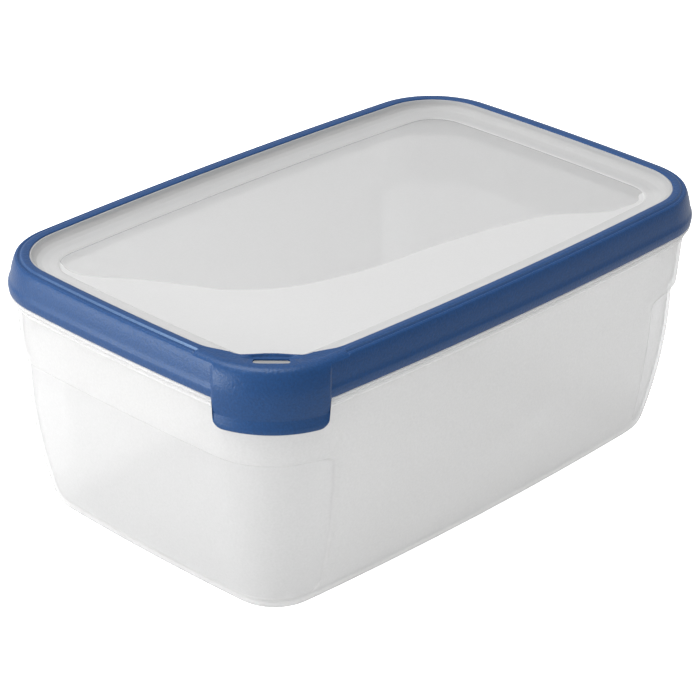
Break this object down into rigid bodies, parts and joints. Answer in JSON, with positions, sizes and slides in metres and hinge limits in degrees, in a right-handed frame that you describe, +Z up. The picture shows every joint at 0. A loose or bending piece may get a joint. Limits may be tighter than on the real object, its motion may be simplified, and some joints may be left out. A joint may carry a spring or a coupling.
{
  "type": "snap lid food container",
  "caption": "Rectangular translucent plastic food box with clear recessed end windows, a frosted band and a sunken lid in a soft coloured snap frame with a thumb tab at one corner.",
  "frame": {"origin": "centre of the flat base, on the surface that the container stands on", "axes": "+Z up through the lid; +X along the length; +Y across the width; the thumb tab is at the corner towards -X and -Y"},
  "size_m": [0.304, 0.1938, 0.1267],
  "materials": {
    "tub_plastic": "translucent natural polypropylene, fine frosted grain with glossy clear end windows",
    "lid_plastic": "translucent natural polypropylene, part satin and part glossy",
    "blue_frame": "soft matt moulded blue with a fine spark grain",
    "seal_rubber": "smooth soft pale elastomer"
  },
  "bodies": {
    "tub": {"container_body": "tub_plastic"},
    "lid": {"lid_panel": "lid_plastic", "lid_frame": "blue_frame", "lid_seal": "seal_rubber"},
    "tab": {"corner_tab": "blue_frame"}
  },
  "joints": [
    {"name": "lid_lift", "type": "slide", "parent": "tub", "child": "lid", "axis": [0, 0, 1], "range_m": [0, 0.12]},
    {"name": "tab_flex", "type": "hinge", "parent": "lid", "child": "tab", "pos_m": [-0.13119, -0.0745, 0.1263], "axis": [-0.7071, 0.7071, 0], "range_deg": [0, 35], "stiffness_Nm_per_rad": 0.15}
  ]
}
